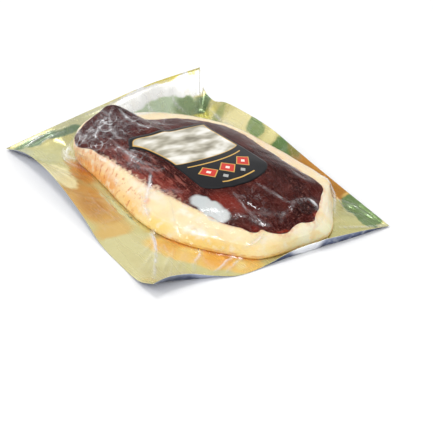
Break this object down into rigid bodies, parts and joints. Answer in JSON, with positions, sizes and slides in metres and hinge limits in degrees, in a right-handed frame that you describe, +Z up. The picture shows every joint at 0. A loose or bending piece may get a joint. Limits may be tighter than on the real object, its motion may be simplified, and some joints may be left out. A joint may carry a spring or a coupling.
{
  "type": "pack of dried duck breast",
  "caption": "Vacuum pack of dried duck breast, lying flat with the meat up: gold-lined back film, clear front film drawn tight over the meat, and a plain sticker on top.",
  "frame": {"origin": "centre of the bounding box at the level of the bag's flat underside", "axes": "+Y along the bag, towards its curled far end; +X across the bag; +Z up, out of the meat side"},
  "size_m": [0.1623, 0.2361, 0.0296],
  "materials": {
    "gold_film": "metallised film, gold inside and silver outside",
    "duck_fat": "soft cream fat with an orange tint low on its sides",
    "dried_lean": "dark red dried meat, satin, with fine fibres",
    "clear_film": "clear glossy film with fine creases",
    "label_paper": "black coated sticker with plain fields of colour"
  },
  "bodies": {
    "root": {"back_film": "gold_film", "fat_layer": "duck_fat", "lean_meat": "dried_lean", "front_film": "clear_film", "label": "label_paper"}
  },
  "joints": []
}
